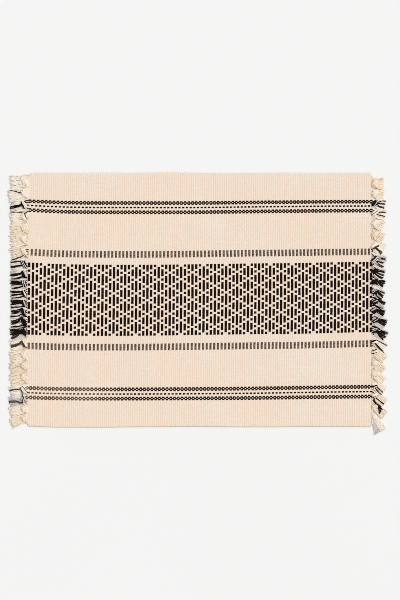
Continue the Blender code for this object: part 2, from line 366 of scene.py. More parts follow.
def finishPiece(obj, slotName, *nodes):
    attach(obj, "root")
    if nodes:
        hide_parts(*nodes)
    print(obj.name, len(obj.data.polygons), "faces")
    return obj


# the cloth
cloth = {
    "crown": 2, "between": 1.68, "valley": 1.22,  # heights on and beside a float, between ribs
    "endTop": 1.25, "underCrown": 0.42, "underValley": 0.66, "edgeDrop": 0.35,
    # the weft turns round the selvedge yarns, with loops that mostly face each other
    "loopOut": 0.32, "loopIn": 0.12, "loopSizes": (0.6, 1.2), "shuffled": 0.3,
    "uneven": 0.05, "underStep": 8, "seed": 11,  # every 8th lane is enough below
}


def buildCloth(material):
    picks, lanes = weave["picks"], weave["lanes"]
    rng = np.random.default_rng(cloth["seed"])
    halves = np.arange(2 * picks + 1) / 2
    x = np.concatenate([[0.0], pickPlace(halves)])
    rows = np.concatenate([[-0.5], np.arange(lanes), [lanes - 0.5]])
    columns = len(x)
    spots = np.concatenate([[0], halves])
    onRib, pick = spots % 1 == 0.5, (spots // 1).astype(int)
    laneNumber = np.clip(np.round(rows), 0, lanes - 1).astype(int)
    up = (pick + laneNumber[:, None]) % 2 == 1
    top = np.where(onRib, np.where(up, cloth["crown"], cloth["between"]), cloth["valley"])
    top = top + rng.uniform(-1, 1, top.shape) * cloth["uneven"]
    top[:, 0] = cloth["endTop"]
    top[[0, -1], :] -= cloth["edgeDrop"]
    gridX, gridY = threadPlace(x[None, :], rows[:, None])
    loops = np.where(onRib, cloth["loopOut"], -cloth["loopIn"])
    loops = loops * rng.uniform(*cloth["loopSizes"], columns)
    gridY[0] += loops
    gridY[-1] -= rng.permutation(loops) * cloth["shuffled"] + loops * (1 - cloth["shuffled"])
    topPoints = np.stack([gridX, gridY, top], -1).reshape(-1, 3)
    underRows = np.unique(np.concatenate([[0, 1], np.arange(1, lanes, cloth["underStep"]),
                                          [len(rows) - 2, len(rows) - 1]]))
    under = np.where(onRib, cloth["underCrown"], cloth["underValley"])
    under = np.broadcast_to(under, (len(underRows), columns)).copy()
    under[[0, -1], :] += cloth["edgeDrop"]
    underPoints = np.stack([gridX[underRows], gridY[underRows], under], -1).reshape(-1, 3)
    n = np.arange(len(topPoints)).reshape(len(rows), columns)
    u = len(topPoints) + np.arange(len(underPoints)).reshape(len(underRows), columns)
    faces = np.concatenate([quads(n[1:, :-1], n[1:, 1:], n[:-1, 1:], n[:-1, :-1]),
                            quads(u[:-1, :-1], u[:-1, 1:], u[1:, 1:], u[1:, :-1]),
                            quads(n[0, :-1], n[0, 1:], u[0, 1:], u[0, :-1]),
                            quads(u[-1, :-1], u[-1, 1:], n[-1, 1:], n[-1, :-1])])
    left = np.concatenate([n[:, 0], u[::-1, 0]])
    right = np.concatenate([n[::-1, -1], u[:, -1]])
    corners = np.concatenate([faces, left, right])
    sizes = np.concatenate([np.full(len(faces) // 4, 4), [len(left), len(right)]])
    # tone: how far the weave stands out, above and below, which sets its painted shade
    tones = np.concatenate([(top.ravel() - cloth["valley"]) / (cloth["crown"] - cloth["valley"]),
                            (cloth["underValley"] - under.ravel()) / cloth["underValley"]])
    return meshFrom("wovenCloth", np.concatenate([topPoints, underPoints]), corners, sizes,
                    material, tones)


# dark floats
floats = {
    "low": 1.36, "shoulder": 2.08, "top": 2.38, "rim": 0.8, "square": 0.5,
    # half length along the warp and half width of one ply, and how far two plies lie apart
    "band": (1.66, 0.91, 1.44), "chain": (1.6, 1.04, 0), "dot": (1.5, 1.1, 0),
    "dash": (1.38, 0.82, 1.42), "underBand": (1.42, 1.42, 0),
    "sides": 8, "underSides": 6, "underside": 2.45,  # those below are these, turned over
    "twist": 2.5, "unevenTwist": 4,  # a ply's slant in degrees
    "uneven": 0.05, "seed": 5,
    "fadeAlong": (65, 130),  # the near stripe is browner up to there
}


def modelPly(sides):
    # one ply of a float: a drum 2 units across, drawn in towards its top, with a raised crown;
    # given as its points, face corners and face sizes
    low, shoulder = floats["low"], floats["shoulder"]
    bpy.ops.mesh.primitive_cylinder_add(
        vertices=sides, radius=1.0, depth=shoulder - low, end_fill_type="NGON",
        location=(0, 0, (low + shoulder) / 2), rotation=(0, 0, math.pi / sides))
    obj = bpy.context.object
    bpy.ops.object.transform_apply()
    bpy.ops.object.mode_set(mode="EDIT")
    bpy.ops.mesh.select_mode(type="FACE")
    bpy.ops.mesh.select_all(action="DESELECT")
    bpy.ops.object.mode_set(mode="OBJECT")
    max(obj.data.polygons, key=lambda face: face.center.z).select = True
    bpy.ops.object.mode_set(mode="EDIT")
    bpy.ops.transform.resize(value=(floats["rim"], floats["rim"], 1))
    bpy.ops.mesh.poke(offset=floats["top"] - shoulder)
    bpy.ops.object.mode_set(mode="OBJECT")
    mesh = obj.data
    points = readAll(mesh.vertices, "co", 3)
    # the round outline is pushed towards a rectangle's, as a superellipse
    reach = np.hypot(points[:, 0], points[:, 1])[:, None]
    turned = points[:, :2] / np.maximum(reach, 1e-6)
    points[:, :2] = np.sign(turned) * np.abs(turned) ** floats["square"] * reach
    shape = (points, readAll(mesh.loops, "vertex_index"), readAll(mesh.polygons, "loop_total"))
    bpy.data.objects.remove(obj, do_unlink=True)
    return shape


def spread(name, shape, spots, material):
    # one joined mesh with a copy of the shape at every spot:
    # (x, y, half length, half width, lift, turn, tone)
    points, corners, sizes = shape
    spots = np.array(spots, float)
    x, y, length, width, lift, turn = spots.T[:6, :, None]
    along, aside = points[:, 0] * length, points[:, 1] * width
    cos, sin = np.cos(turn), np.sin(turn)
    copies = np.stack([x + along * cos - aside * sin, y + along * sin + aside * cos,
                       points[:, 2] + lift], -1)
    offsets = np.arange(len(spots))[:, None] * len(points)
    return meshFrom(name, copies.reshape(-1, 3), (corners[None] + offsets).ravel(),
                    np.tile(sizes, len(spots)), material, np.repeat(spots[:, 6], len(points)))


def floatSpots(cells, size, rng):
    # cells are (pick, lane); each float there is one ply, or two that lie side by side
    length, width, apart = size
    pick, lane = np.array(cells, float).T
    x, y = threadPlace(pickPlace(pick + 0.5), lane)
    inNearStripe = lane > (nearDashes + nearStripe) / 2
    fade = np.interp(x - matLow[0], floats["fadeAlong"], (1, 0)) * inNearStripe
    spots = []
    for side in ((-0.5, 0.5) if apart else (0,)):
        uneven = rng.uniform(-1, 1, (4, len(pick))) * floats["uneven"]
        turn = np.radians(floats["twist"]) * (1 + floats["unevenTwist"] * uneven[3])
        spots.append(np.stack([x + uneven[2], y + side * apart, length * (1 + uneven[0]),
                               width * (1 + uneven[1]), uneven[2], turn, fade], 1))
    return np.concatenate(spots)


def bandCells(dark):
    # (pick, lane) of the band's cells on the bar picks, where the draft is dark or light
    cells = []
    for bar in range((weave["picks"] + 1) // 2):
        line = bandDraft[bar % len(bandDraft)]
        for unit in range(bandUnits):
            if (line[(unit + draftStart) % len(line)] == "#") == dark:
                cells.append((2 * bar, bandTop + 2 * unit))
    return cells


def rowCells(rows, middle, flip):
    return [(pick, middle + lane) for lane, phase in rows
            for pick in range(weave["picks"]) if pick % 2 == (phase + flip) % 2]


def buildFloats(black, mottled):
    rng = np.random.default_rng(floats["seed"])
    ply = modelPly(floats["sides"])
    points, corners, sizes = modelPly(floats["underSides"])
    # the same ply turned over, for the underside, where the weave is the top's opposite
    underPly = (points * (1, -1, -1) + (0, 0, floats["underside"]), corners, sizes)
    pieces = [spread("bandFloats", ply, floatSpots(bandCells(True), floats["band"], rng), black)]
    for over, below, middles, parts, material in (
            ("stripeFloats", "underStripes", (farStripe, nearStripe),
             ((chainRows, "chain"), ([dotRow], "dot")), black),
            ("dashFloats", "underDashes", (farDashes, nearDashes), ((dashRows, "dash"),), mottled)):
        for name, shape, flip in ((over, ply, 0), (below, underPly, 1)):
            spots = [floatSpots(rowCells(rows, middle, flip + turn), floats[kind], rng)
                     for turn, middle in enumerate(middles) for rows, kind in parts]
            pieces.append(spread(name, shape, np.concatenate(spots), material))
    between = [(pick, bandTop + 2 * unit) for pick in range(1, weave["picks"], 2)
               for unit in range(bandUnits)]
    spots = floatSpots(bandCells(False) + between, floats["underBand"], rng)
    pieces.append(spread("underBand", underPly, spots, black))
    return pieces


# the fringe
fringe = {
    "knotOff": 3.9,  # knot's middle from the cloth's end
    "skirtFrom": 2.6,  # from there to where the yarn is loose
    # the knot's half width and the skirt's widths at both ends, against the tassels' spacing
    "knotRoom": 0.35, "rootShare": 0.92, "fanShare": 1.12,
    "plyRadius": 0.5, "plyApart": 0.32, "twistPitch": 8, "loosening": 0.3, "sides": 5,
    "offFloor": (0.03, 0.3), "plyTone": 0.04,  # least gap below a ply, and how its tone differs
    "seed": 29,
    # tones: of the cream, more in the band's tassels, greyed there as painted shade, and of dark
    # yarns
    "creamTones": (0.3, 0.7), "uneven": 0.15, "bandGreyShade": 0.6, "fadedTone": 0.7, "brownTone": 0.6,
    "greyFrom": 8,  # lanes before the band that count with it
    # share of black in the turns round a knot, for tassels with so large a share of dark yarns
    "stripeWraps": (0.3,) * 6, "stripeShare": 0.35,
    # the yarn that lies across the left tassels: its plies' distance, their radius and tone
    "crossingYarn": (0.3, 0.4, 0.6),
}
# tassels: the knot's distance from the far selvedge, degrees of lean towards the near one, and
# length against the mean
# darkAt: by tassel, the clumps of its dark yarns: place across the skirt at the knot and at the
# tip, where 0.5 is the far side, and half the width at the tip
# darkWraps, darkKnots: share of black in each turn round a knot, from the cloth outwards, in
# the band, then in single tassels
# faded, and grey: tassels whose dark yarns are faded brown, and how much greyer some cream ones
# are, painted shade beside their black yarns
# crossing: (mm from the cloth's end, from the far selvedge and from the floor)
# strays: tassel, place across it at the knot and at the tip, length, 1 for dark ones, count,
# and how high they lie over it
ends = {"left": {
    "length": 15.3, "wrapSlant": 14,
    "tassels": [
        (10, 8, 1), (26, 12, 1.14), (41, 8, 0.98), (56.5, 6, 1), (71, 11, 1), (85.5, 12, 1),
        (100.5, 16, 0.98), (117, 10, 0.94), (129.5, 6, 0.94), (141.5, 8, 0.94), (154.5, 6, 0.96),
        (167, 2, 0.96), (179.5, -3, 0.94), (191.5, 3, 0.94), (204, 12, 1.02), (218.6, 12, 1),
        (233.3, 13, 1.02), (247.8, 16, 1.03), (262.5, 17, 1.02), (278, 12, 1.03),
        (290.6, 10, 1.06), (302.6, 14, 1.05), (314.6, 22, 1)],
    "darkAt": {
        2: [(0.05, -0.05, 0.1)], 6: [(-0.35, -0.37, 0.03)],
        7: [(0.28, 0.31, 0.05), (-0.1, -0.04, 0.06)],
        8: [(0.12, -0.01, 0.14), (-0.3, -0.42, 0.09)],
        9: [(0.04, 0.16, 0.25), (-0.27, -0.36, 0.09)],
        10: [(0.25, 0.25, 0.1), (0, -0.03, 0.08), (-0.3, -0.33, 0.08)],
        11: [(0.14, 0.12, 0.25), (-0.34, -0.36, 0.08)],
        12: [(0.45, 0.02, 0.2), (-0.2, -0.38, 0.08)], 13: [(0.5, 0.02, 0.22), (-0.3, -0.38, 0.1)],
        14: [(0.2, 0.03, 0.47)], 15: [(0.15, -0.02, 0.1)], 19: [(0.12, 0.17, 0.03)],
        20: [(-0.34, 0.02, 0.1)]},
    "darkWraps": (0.9, 0.3, 0.6, 0.95, 0.95, 0.95), "darkKnots": {7: 0.5},
    "faded": (3, 18, 19, 20, 21), "greyShade": {1: 0.35, 2: 0.4, 19: 0.55, 20: 0.6},
    "crossing": [(8.6, 275, 2.2), (7.7, 277, 3), (6.3, 281.5, 3.6), (5.2, 287.9, 3.9),
                 (5.8, 292.5, 3.9), (7.2, 295, 3.2), (10.3, 294.9, 2.8)],
    "strays": [(1, 0.1, 0.44, 0.85, 1, 1, 1.6), (19, 0.1, 0.16, 0.9, 1, 1, 1.6)],
}, "right": {
    "length": 10.9, "wrapSlant": 32,
    "tassels": [
        (13, 4, 0.82), (26.2, 14, 0.87), (38.8, 8, 0.98), (51.5, 12, 1.02), (64.4, 24, 0.86),
        (78.7, 28, 0.88), (93.5, 30, 0.94), (111, 18, 1.02), (125.6, 22, 0.96), (139.2, 26, 0.92),
        (152.2, 28, 0.92), (165.3, 27, 0.96), (177, 24, 0.92), (189.2, 27, 1.12),
        (202.2, 31, 1.24), (215.6, 34, 1.2), (229.3, 38, 1.24), (244, 42, 1.1), (258, 42, 1.08),
        (272, 36, 1.12), (285.4, 38, 1.24), (299.6, 42, 1.3), (313.2, 56, 1.6)],
    "darkAt": {
        2: [(0.1, 0.35, 0.05), (0, 0.06, 0.06), (-0.1, -0.28, 0.08)],
        3: [(0.1, 0.25, 0.03), (-0.1, -0.1, 0.03)], 6: [(-0.15, -0.2, 0.04)],
        7: [(0, 0.27, 0.07), (-0.08, -0.06, 0.07), (-0.15, -0.34, 0.08)],
        8: [(0.05, 0.22, 0.08), (-0.1, -0.09, 0.08), (-0.3, -0.38, 0.07)],
        9: [(-0.02, 0.16, 0.36)], 10: [(0.1, 0.32, 0.08), (0.25, -0.04, 0.1), (-0.2, -0.38, 0.09)],
        11: [(0.45, 0.28, 0.2), (-0.4, -0.34, 0.12)], 12: [(0.15, 0.14, 0.33)],
        13: [(0.27, 0.22, 0.35)], 14: [(0.2, 0.04, 0.47)],
        15: [(0.2, 0.28, 0.03), (-0.25, -0.42, 0.04)],
        19: [(0, -0.12, 0.015), (-0.25, -0.42, 0.015)],
        20: [(-0.1, -0.12, 0.04), (-0.5, -0.78, 0.17)]},
    "darkWraps": (0.7, 0.9, 0.6, 0.95, 0.9, 0.9), "darkKnots": {2: 0.7, 15: 0.4, 16: 0.3},
    "faded": (3,), "greyShade": {2: 0.4, 3: 0.4}, "crossing": [],
    "strays": [(3, 0.1, 0.3, 1.05, 1, 1, 1.6), (3, -0.1, -0.12, 1, 1, 1, 1.6),
               (6, -0.1, -0.38, 0.95, 1, 1, 1.6), (11, 0.1, -0.1, 1.15, 0, 2, 1.6),
               (15, -0.2, -0.58, 1.5, 1, 1, 1.6), (21, 0.35, 0, 0.57, 1, 6, 1.6),
               (22, -0.5, -1.05, 0.95, 0, 9, 0)],
}}


def darkLane(lane):
    # 0 for cream, 1 for black and 2 for the brown of the dashes
    if bandTop <= lane <= bandTop + 2 * bandUnits - 2:
        return 1 - (lane - bandTop) % 2
    if min(abs(lane - farStripe), abs(lane - nearStripe)) in (0, 3, 5):
        return 1
    return 2 if min(abs(lane - farDashes), abs(lane - nearDashes)) in (0, 2) else 0


def smoothPath(points, steps):
    # a smooth route through the points (Catmull-Rom), with so many steps between two of them
    points = np.array(points, float)
    around = np.vstack([2 * points[0] - points[1], points, 2 * points[-1] - points[-2]])
    route = []
    for k, count in enumerate(steps):
        a, b, c, d = around[k:k + 4]
        t = (np.arange(count) / count)[:, None]
        route.append(0.5 * (2 * b + (c - a) * t + (2 * a - 5 * b + 4 * c - d) * t ** 2
                            + (3 * b - a - 3 * c + d) * t ** 3))
    return np.vstack(route + [points[-1:]])


def crossDirections(route):
    # two directions square to a route at each point, carried along it without twisting
    tangents = np.gradient(route, axis=0)
    tangents /= np.linalg.norm(tangents, axis=1)[:, None]
    first = np.cross(tangents[0], (0.0, 0.0, 1.0))
    sides = []
    for tangent in tangents:
        first = first - tangent * (first @ tangent)
        first = first / math.sqrt(first @ first)
        sides.append(first)
    sides = np.array(sides)
    return sides, np.cross(tangents, sides)


overFloor = 0.02  # nothing dips into the floor


class Bundle:
    # round yarns of one colour, gathered into one mesh
    def __init__(self):
        self.points, self.corners, self.sizes, self.tones = [], [], [], []
        self.lengths, self.runs, self.turns = [], [], []
        self.count = 0

    def tube(self, route, radii, sides, tone):
        across, upwards = crossDirections(route)
        n = len(route)
        angle = np.arange(sides) * 2 * math.pi / sides
        reach = np.broadcast_to(np.asarray(radii, float), (n,))[:, None]
        ring = (route[:, None] + (reach * np.cos(angle))[:, :, None] * across[:, None]
                + (reach * np.sin(angle))[:, :, None] * upwards[:, None])
        index = self.count + np.arange(n * sides).reshape(n, sides)
        after = np.roll(index, -1, axis=1)
        self.points.append(ring.reshape(-1, 3))
        self.corners += [quads(index[:-1], after[:-1], after[1:], index[1:]), index[0, ::-1],
                         index[-1]]
        self.sizes += [np.full((n - 1) * sides, 4), [sides, sides]]
        self.tones.append(np.repeat(np.broadcast_to(tone, n), sides))
        self.count += n * sides
        # each corner's place along the yarn and round it, for the map
        self.lengths.append(np.linalg.norm(np.diff(route, axis=0), axis=1).sum())
        step, turn = np.meshgrid(np.arange(n - 1), np.arange(sides), indexing="ij")
        along = quads(step, step, step + 1, step + 1) / (n - 1)
        about = quads(turn, turn + 1, turn + 1, turn) / sides
        # the two caps are small discs over the yarn's ends
        capAlong, capAbout = 0.05 + 0.04 * np.cos(angle), 0.5 + 0.4 * np.sin(angle)
        self.runs.append(np.concatenate([along, capAlong, 1 - capAlong]))
        self.turns.append(np.concatenate([about, capAbout, capAbout]))

    def make(self, name, material):
        points = np.concatenate(self.points)
        points[:, 2] = np.maximum(points[:, 2], overFloor)
        obj = meshFrom(name, points, np.concatenate(self.corners), np.concatenate(self.sizes),
                       material, np.concatenate(self.tones))
        # the map lays the yarns end to end on a ribbon that is folded into rows
        perimeter, spare, rowFill = 2 * math.pi * fringe["plyRadius"], 1.12, 0.9
        ribbon = math.sqrt(sum(self.lengths) * spare * perimeter)
        starts, place = [], 0.0
        for length in self.lengths:
            if place % ribbon + length > ribbon:
                place = (place // ribbon + 1) * ribbon
            starts.append(place)
            place += length
        rows = place // ribbon + 1
        counts = [len(run) for run in self.runs]
        starts, lengths = np.repeat(starts, counts), np.repeat(self.lengths, counts)
        u = (starts % ribbon + np.concatenate(self.runs) * lengths) / ribbon
        v = (starts // ribbon + np.concatenate(self.turns) * rowFill) / rows
        setMap(obj, u, v)
        return obj


def twistedPair(bundle, route, apart, radii, tone, rng):
    # two plies that turn round each other along a route, more loosely towards its end
    across, upwards = crossDirections(route)
    apart = np.broadcast_to(apart, len(route))[:, None]
    along = np.concatenate([[0], np.cumsum(np.linalg.norm(np.diff(route, axis=0), axis=1))])
    turns = along / fringe["twistPitch"] * (1 - fringe["loosening"] * along / along[-1])
    angle = rng.uniform(0, 2 * math.pi) + 2 * math.pi * turns
    for half in (0, math.pi):
        offset = (np.cos(angle + half)[:, None] * across
                  + np.sin(angle + half)[:, None] * upwards) * apart
        ply = route + offset
        ply[:, 2] = np.maximum(ply[:, 2], radii + rng.uniform(*fringe["offFloor"]))
        plyTone = tone + rng.uniform(-1, 1) * fringe["plyTone"]
        bundle.tube(ply, radii, fringe["sides"], plyTone)


class Tassel:
    # one tassel's frame: its knot, the way it points and how wide it spreads
    def __init__(self, knot, side, lean, reach, room, tones, clumps):
        self.knot, self.side, self.lean, self.reach = knot, side, lean, reach
        self.tones, self.clumps = tones, clumps  # tones of its cream, black and brown
        self.halfWide, self.rootFan, self.fan = (fringe[key] * room for key in
                                                 ("knotRoom", "rootShare", "fanShare"))

    def spot(self, along, sideways, z, lean=None):
        # a place so far past the knot and so far to its far side
        lean = self.lean if lean is None else lean
        return (self.knot[0] + self.side * (math.cos(lean) * along + math.sin(lean) * sideways),
                self.knot[1] - math.sin(lean) * along + math.cos(lean) * sideways, z)

    def skirt(self, share, across, z):
        # a place in the loose part: share of its length, and -0.5 to 0.5 across it
        opened = 1 - (1 - min(share, 1.0)) ** 2  # opens early, then runs on straight
        wide = self.rootFan + (self.fan - self.rootFan) * opened
        return self.spot(fringe["skirtFrom"] + self.reach * share, across * wide, z)

    def down(self, table, length, leave, place, bend, layer=0):
        # stops along the skirt: share of the length, of the way from where it leaves the knot
        # to its place at the tip, of its bend, height, and height of each layer
        return [self.skirt(length * share, leave * (1 - there) + place * there + bend * bent,
                           height + layer * step) for share, there, bent, height, step in table]


def yarnTone(kind, tassel, rng):
    # cream yarns differ a little, and more from one tassel to the next
    return tassel.tones[kind] + (0 if kind else rng.uniform(-1, 1) * fringe["uneven"])


clumping = {
    "atKnot": 0.65,  # a clump's width there against the tip
    "clear": 0.03, "moved": 0.06,  # light yarns nearer than that move away so far
}


def clumpPlaces(clumps, count):
    # places across a skirt, at the knot and at the tip, of so many dark yarns; wide clumps get
    # more of them
    edges = np.cumsum([0] + [2 * half for _, _, half in clumps])
    places = []
    for spot in (np.arange(count) + 0.5) / count * edges[-1]:
        k = np.searchsorted(edges, spot, side="right") - 1
        root, tip, half = clumps[k]
        off = half - (spot - edges[k])
        places.append((root + clumping["atKnot"] * off, tip + off))
    return places


def besideClumps(place, clumps):
    # a light yarn's place across the skirt, moved out of the dark clumps
    for _, tip, half in clumps:
        off = place - tip
        if abs(off) < half + clumping["clear"]:
            place = tip + math.copysign(half + clumping["moved"], off)
    return place


warpYarns = {
    "layers": 3, "darkRise": 0.825,  # dark yarns tend to lie on top
    "stray": 0.06, "bend": 0.08, "clumpedBend": 0.4,  # unevenness across the skirt
    # out of the cloth: where a yarn starts against its end, its height there and at its edge
    "exits": {"plain": (-1.2, 1.05, 1.35), "band": (-1.2, 1.05, 1.5), "low": (-0.2, 0.55, 0.9)},
    "edge": 0.8, "turned": 0.06,  # the edge, and how far it has turned there
    "bandLayer": 2,  # layer of the band's cream yarns up to the knot
    # (along from the knot's middle, spread in half widths of the knot, share of the lean,
    # height, height of each layer)
    "neck": (-2.2, 2.1, 0.5, 1.3, 0.7), "knot": (0, 1.8, 1, 1.7, 0.5),
    "skirt": [(0, 0, 0, 1.4, 0.4), (0.35, 0.6, 0.2, 1.3, 0.3), (0.7, 0.9, 0.6, 1.15, 0.2),
              (1, 1, 1, 0.85, 0.1)],
    "steps": (2, 2, 1, 2, 3, 3, 3),
    # the plies are held by the last pick, then swell and close up past the knot
    "held": 0.6, "release": 0.12, "freed": (-0.9, 1), "swell": 0.3, "closeUp": 0.15,
    "tip": (0.95, 0.65),  # a blunt cut end
    "spread": 0.07,  # of the lengths
}


def addYarns(tassel, lanes, laneX, laneY, bundles, rng):
    # the warp yarns: out of the cloth, into the knot and on into the skirt
    yarns = warpYarns
    kinds = [darkLane(lane) for lane in lanes]
    order = np.argsort([rng.uniform(0, 1) + yarns["darkRise"] * (kind > 0) for kind in kinds])
    layers = np.empty(len(lanes), int)
    layers[order] = np.arange(len(lanes)) * yarns["layers"] // len(lanes)
    darks = sum(kind > 0 for kind in kinds)
    darkPlaces = clumpPlaces(tassel.clumps, darks) if tassel.clumps else []
    side, knot, halfWide = tassel.side, tassel.knot, tassel.halfWide
    for i, (lane, kind, layer) in enumerate(zip(lanes, kinds, layers)):
        q = 0.5 - (i + 0.5) / len(lanes)  # 0.5 at the far side of the tassel
        loose = q + rng.uniform(-1, 1) * yarns["stray"]
        bend = rng.uniform(-1, 1) * yarns["bend"]
        leave = (q + loose) / 2
        if tassel.clumps:
            bend *= yarns["clumpedBend"]
            if kind:
                leave, loose = darkPlaces.pop(0)
            else:
                loose = besideClumps(loose, tassel.clumps)
        length = 1 + rng.uniform(-1, 1) * yarns["spread"]
        inBand = bandTop <= lane < bandTop + 2 * bandUnits
        exit, neckLayer = "plain", layer
        if kind and (inBand or abs(lane - nearDashes) < 3):  # leaves from under the last pick
            exit, neckLayer = "low", 0
        elif inBand:
            exit, neckLayer = "band", yarns["bandLayer"]
        begin, low, high = yarns["exits"][exit]
        turned = (knot[1] - laneY[lane]) * yarns["turned"]
        stops = [(laneX[lane] + side * begin, laneY[lane], low),
                 (laneX[lane] + side * yarns["edge"], laneY[lane] + turned, high)]
        for key, number in (("neck", neckLayer), ("knot", layer)):
            along, wide, turn, height, step = yarns[key]
            stops.append(tassel.spot(along, q * wide * halfWide, height + number * step,
                                     tassel.lean * turn))
        stops += tassel.down(yarns["skirt"], length, leave, loose, bend, layer)
        route = smoothPath(stops, yarns["steps"])
        freed = np.clip(np.linspace(*yarns["freed"], len(route)), 0, 1)
        snug = np.minimum(yarns["held"] + yarns["release"] * np.arange(len(route)), 1)
        apart = fringe["plyApart"] * (1 - yarns["closeUp"] * freed) * snug
        radii = fringe["plyRadius"] * (1 + yarns["swell"] * freed) * (1 + snug) / 2
        radii[-2:] *= yarns["tip"]
        twistedPair(bundles[kind > 0], route, apart, radii, yarnTone(kind, tassel, rng), rng)
    return kinds


knotTurns = {
    "count": 6, "apart": 0.8, "points": 19, "reach": 0.6,  # each from -0.6 to 0.6 of a whole turn
    "uneven": 12, "halfTall": 1.5, "middle": 2.4,  # uneven by so many degrees
    "pitch": 1.2, "rounding": 0.03,  # rise along the knot, and its rounded ends
    "tuckFrom": 0.48, "tuck": 4,  # the ends of each turn go inside
}


def addKnot(tassel, wrapSlant, kinds, shares, bundles, rng):
    # a few turns of yarn laid aslant round the tassel
    turns = knotTurns
    for wrap in range(turns["count"]):
        off = wrap - (turns["count"] - 1) / 2
        slant = tassel.lean + math.radians(wrapSlant + rng.uniform(-1, 1) * turns["uneven"])
        turn = np.linspace(-turns["reach"], turns["reach"], turns["points"])  # 0 is on top
        inside = np.clip(np.abs(turn) - turns["tuckFrom"], 0, 1)
        tuck = (1 - turns["rounding"] * off ** 2) * (1 - turns["tuck"] * inside)
        run = off * turns["apart"] + turn * turns["pitch"]
        across = tassel.halfWide * tuck * np.sin(turn * 2 * math.pi)
        height = turns["middle"] + turns["halfTall"] * tuck * np.cos(turn * 2 * math.pi)
        route = np.column_stack(tassel.spot(run, across, height, slant))
        kind = kinds[int((wrap + 0.5) / turns["count"] * len(kinds))]
        if shares:
            kind = int(rng.uniform() < shares[wrap])
        twistedPair(bundles[kind > 0], route, fringe["plyApart"], fringe["plyRadius"],
                    yarnTone(kind, tassel, rng), rng)


fillers = {
    "count": 16, "radius": 0.72, "places": (0.2, 0.8), "lengths": (0.8, 1),
    "bend": 0.1, "clumpedBend": 0.3, "atKnot": 1.04,
    "exit": [(-0.8, 0.6), (1.6, 0.8)],  # (mm outside the cloth's end, height)
    "skirt": [(0, 0, 0, 1.15, 0), (0.5, 0.75, 0.4, 1.05, 0), (1, 1, 1, 0.75, 0)],
    "steps": (1, 2, 3, 2), "swell": (0.8, 1), "tip": (0.95, 0.7),
    "knotShade": 0.6,  # painted shade: the cream ones darker and browner towards the knot
}
hairs = {
    "count": 26, "radius": 0.055, "sides": 3, "taper": (1.2, 0.5), "lighter": 0.1,
    "across": 0.55, "begins": (0, 0.7), "ends": (0.9, 1.1), "curl": 0.12,
    "low": 0.9, "lifts": (0.2, 2.2), "lifted": 0.8, "arch": 2.6,  # radians of the arch's sine
    "stations": (0, 0.33, 0.66, 1), "steps": (3, 3, 3),
}


def addLoose(tassel, kinds, endX, spacing, bundles, rng):
    # single plies under the skirt, out of the cloth's end, and fine hairs round it
    for filler in range(fillers["count"]):
        q = (filler + rng.uniform(*fillers["places"])) / fillers["count"] - 0.5
        length = rng.uniform(*fillers["lengths"])
        bend = rng.uniform(-1, 1) * fillers["bend"]
        if tassel.clumps:
            bend *= fillers["clumpedBend"]
        kind, leave = 0, q * fillers["atKnot"]
        for root, tip, half in tassel.clumps:
            if abs(q - tip) < half:
                kind, leave = 1, root + clumping["atKnot"] * (q - tip)
        stops = [(endX + tassel.side * out, tassel.knot[1] + q * spacing, height)
                 for out, height in fillers["exit"]]
        stops += tassel.down(fillers["skirt"], length, leave, q, bend)
        route = smoothPath(stops, fillers["steps"])
        radii = fillers["radius"] * np.linspace(*fillers["swell"], len(route))
        radii[-2:] *= fillers["tip"]
        tone = yarnTone(kind, tassel, rng)
        # painted shade: cream fillers grow darker and browner towards the knot
        tone -= (kind == 0) * np.linspace(fillers["knotShade"], 0.0, len(route))
        bundles[kind > 0].tube(route, radii, fringe["sides"], tone)
    for hair in range(hairs["count"]):
        kind = kinds[rng.integers(len(kinds))]
        q = rng.uniform(-1, 1) * hairs["across"]
        begin, end, lift = (rng.uniform(*hairs[key]) for key in ("begins", "ends", "lifts"))
        sways = [0, *(rng.uniform(-1, 1, 3) * hairs["curl"])]
        lift *= hairs["lifted"]
        stops = [tassel.skirt(begin + (end - begin) * t, q + sway,
                              hairs["low"] + lift * math.sin(t * hairs["arch"]))
                 for t, sway in zip(hairs["stations"], sways)]
        route = smoothPath(stops, hairs["steps"])
        radii = hairs["radius"] * np.linspace(*hairs["taper"], len(route))
        tone = yarnTone(kind, tassel, rng) + hairs["lighter"]
        bundles[kind > 0].tube(route, radii, hairs["sides"], tone)


strayYarns = {
    "apart": 0.3, "radius": 0.34, "greyer": 0.5,  # of the cream ones
    "beside": 0.09, "under": 0.1, "shorter": 0.06,  # from one strand to the next
    "neck": -2, "neckWide": 8,  # mm past the knot, and across the skirt
    # the four stops: before the knot, past it, halfway and at the tip
    "heights": ((0.9, 1.4), (1.3, 1), (1, 0.9), (0.8, 1)),  # least, and share of the lift
    "fan": (0.4, 0.8, 1, 1.3), "leaves": 0.1, "halfway": (0.55, 0.04), "falls": (1.2, 0.5),
    "steps": (2, 4, 4),
}


def addStrays(tassel, strays, bundles, rng):
    # yarns on top of a tassel that go their own way
    looks = strayYarns
    for root, tip, share, kind, count, high in strays:
        for strand in range(count):
            off = (strand - (count - 1) / 2) * looks["beside"]
            lift = high * (1 - looks["under"] * (strand % 3))
            drop = lift * (looks["falls"][0] * share - looks["falls"][1])  # a long one falls
            end = share * (1 - looks["shorter"] * (strand % 2))
            heights = [least + lift * part for least, part in looks["heights"]]
            fan = [off * wide for wide in looks["fan"]]
            half, bend = looks["halfway"]
            stops = [tassel.spot(looks["neck"], (root + fan[0]) * looks["neckWide"], heights[0]),
                     tassel.skirt(looks["leaves"], root + fan[1], heights[1]),
                     tassel.skirt(share * half, (root + tip) / 2 + bend + fan[2], heights[2]),
                     tassel.skirt(end, tip + fan[3], heights[3] - drop)]
            route = smoothPath(stops, looks["steps"])
            tone = yarnTone(kind, tassel, rng) + looks["greyer"] * (kind == 0)
            twistedPair(bundles[kind > 0], route, looks["apart"], looks["radius"], tone, rng)


